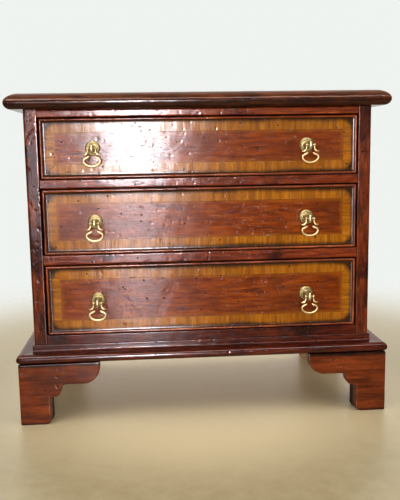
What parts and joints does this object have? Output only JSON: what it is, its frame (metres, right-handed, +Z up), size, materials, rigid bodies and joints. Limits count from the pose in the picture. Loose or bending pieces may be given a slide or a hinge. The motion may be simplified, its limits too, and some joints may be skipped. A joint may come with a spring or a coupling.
{
  "type": "miniature chest of drawers",
  "caption": "Miniature mahogany chest with graduated crossbanded drawers, cockbeading, brass drop handles, moulded top and base, and bracket feet.",
  "frame": {"origin": "centre of the bounding box at floor level, under the middle of the chest", "axes": "+Z up, +X to the right of the drawer fronts as seen from the front, +Y towards the back; the drawers open towards -Y"},
  "size_m": [0.3, 0.166, 0.2612],
  "materials": {
    "case_mahogany": "polished red-brown mahogany, worn and waxed",
    "moulding_mahogany": "polished mahogany with rubbed edges",
    "drawer_mahogany": "glossy polished mahogany veneer",
    "crossband_wood": "glossy golden-brown cross-grain veneer",
    "cockbead_wood": "polished mahogany bead with worn edges",
    "drawer_lining": "dry unfinished cedar",
    "back_pine": "dry stained pine",
    "brass": "aged brass, bright where rubbed"
  },
  "bodies": {
    "case": {"top_board": "case_mahogany", "left_side": "case_mahogany", "right_side": "case_mahogany", "back_panel": "back_pine", "bottom_board": "back_pine", "top_rail": "case_mahogany", "upper_divider": "case_mahogany", "lower_divider": "case_mahogany", "bottom_rail": "case_mahogany", "drawer_runners": "back_pine", "kickers": "back_pine", "drawer_stops": "back_pine", "base_moulding_front": "moulding_mahogany", "base_moulding_left": "moulding_mahogany", "base_moulding_right": "moulding_mahogany", "front_left_foot_face": "moulding_mahogany", "front_left_foot_side": "moulding_mahogany", "front_right_foot_face": "moulding_mahogany", "front_right_foot_side": "moulding_mahogany", "rear_left_foot_side": "moulding_mahogany", "rear_right_foot_side": "moulding_mahogany", "rear_foot_backs": "back_pine", "foot_blocks": "back_pine"},
    "lower_drawer": {"lower_drawer_front": "drawer_mahogany", "lower_drawer_left_side": "drawer_lining", "lower_drawer_right_side": "drawer_lining", "lower_drawer_back": "drawer_lining", "lower_drawer_bottom": "drawer_lining", "lower_drawer_cockbeads": "cockbead_wood", "lower_drawer_crossband": "crossband_wood", "lower_drawer_backplates": "brass", "lower_drawer_posts": "brass", "lower_drawer_nuts": "brass"},
    "lower_left_bail": {"lower_drawer_left_bail": "brass"},
    "lower_right_bail": {"lower_drawer_right_bail": "brass"},
    "middle_drawer": {"middle_drawer_front": "drawer_mahogany", "middle_drawer_left_side": "drawer_lining", "middle_drawer_right_side": "drawer_lining", "middle_drawer_back": "drawer_lining", "middle_drawer_bottom": "drawer_lining", "middle_drawer_cockbeads": "cockbead_wood", "middle_drawer_crossband": "crossband_wood", "middle_drawer_backplates": "brass", "middle_drawer_posts": "brass", "middle_drawer_nuts": "brass"},
    "middle_left_bail": {"middle_drawer_left_bail": "brass"},
    "middle_right_bail": {"middle_drawer_right_bail": "brass"},
    "upper_drawer": {"upper_drawer_front": "drawer_mahogany", "upper_drawer_left_side": "drawer_lining", "upper_drawer_right_side": "drawer_lining", "upper_drawer_back": "drawer_lining", "upper_drawer_bottom": "drawer_lining", "upper_drawer_cockbeads": "cockbead_wood", "upper_drawer_crossband": "crossband_wood", "upper_drawer_backplates": "brass", "upper_drawer_posts": "brass", "upper_drawer_nuts": "brass"},
    "upper_left_bail": {"upper_drawer_left_bail": "brass"},
    "upper_right_bail": {"upper_drawer_right_bail": "brass"}
  },
  "joints": [
    {"name": "lower_drawer_slide", "type": "slide", "parent": "case", "child": "lower_drawer", "axis": [0, -1, 0], "range_m": [0, 0.1]},
    {"name": "lower_left_bail_hinge", "type": "hinge", "parent": "lower_drawer", "child": "lower_left_bail", "pos_m": [-0.0845, -0.081, 0.0985], "axis": [-1, 0, 0], "range_deg": [-50, 180]},
    {"name": "lower_right_bail_hinge", "type": "hinge", "parent": "lower_drawer", "child": "lower_right_bail", "pos_m": [0.0845, -0.081, 0.0985], "axis": [-1, 0, 0], "range_deg": [-50, 180]},
    {"name": "middle_drawer_slide", "type": "slide", "parent": "case", "child": "middle_drawer", "axis": [0, -1, 0], "range_m": [0, 0.1]},
    {"name": "middle_left_bail_hinge", "type": "hinge", "parent": "middle_drawer", "child": "middle_left_bail", "pos_m": [-0.0845, -0.081, 0.16125], "axis": [-1, 0, 0], "range_deg": [-50, 180]},
    {"name": "middle_right_bail_hinge", "type": "hinge", "parent": "middle_drawer", "child": "middle_right_bail", "pos_m": [0.0845, -0.081, 0.16125], "axis": [-1, 0, 0], "range_deg": [-50, 180]},
    {"name": "upper_drawer_slide", "type": "slide", "parent": "case", "child": "upper_drawer", "axis": [0, -1, 0], "range_m": [0, 0.1]},
    {"name": "upper_left_bail_hinge", "type": "hinge", "parent": "upper_drawer", "child": "upper_left_bail", "pos_m": [-0.0845, -0.081, 0.2187], "axis": [-1, 0, 0], "range_deg": [-50, 180]},
    {"name": "upper_right_bail_hinge", "type": "hinge", "parent": "upper_drawer", "child": "upper_right_bail", "pos_m": [0.0845, -0.081, 0.2187], "axis": [-1, 0, 0], "range_deg": [-50, 180]}
  ]
}
